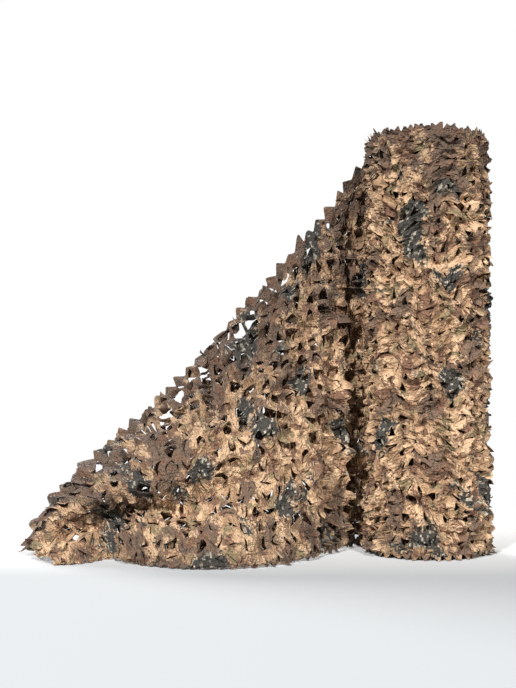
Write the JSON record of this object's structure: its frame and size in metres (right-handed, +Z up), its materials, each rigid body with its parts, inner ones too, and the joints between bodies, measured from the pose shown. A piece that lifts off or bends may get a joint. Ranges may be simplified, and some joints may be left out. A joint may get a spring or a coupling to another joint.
{
  "type": "camouflage net roll",
  "caption": "Bulk roll of leaf-cut camouflage netting standing on end, its free end drawn out and draped to the floor.",
  "frame": {"origin": "centre of the roll's flat foot, on the floor", "axes": "+Z up along the roll, -X towards the tip of the loose end, -Y towards its rounded belly"},
  "size_m": [1.6606, 0.6493, 1.509],
  "materials": {
    "net_cloth": "matt printed polyester cloth"
  },
  "bodies": {
    "root": {"net_roll": "net_cloth", "net_loose_end": "net_cloth"}
  },
  "joints": []
}
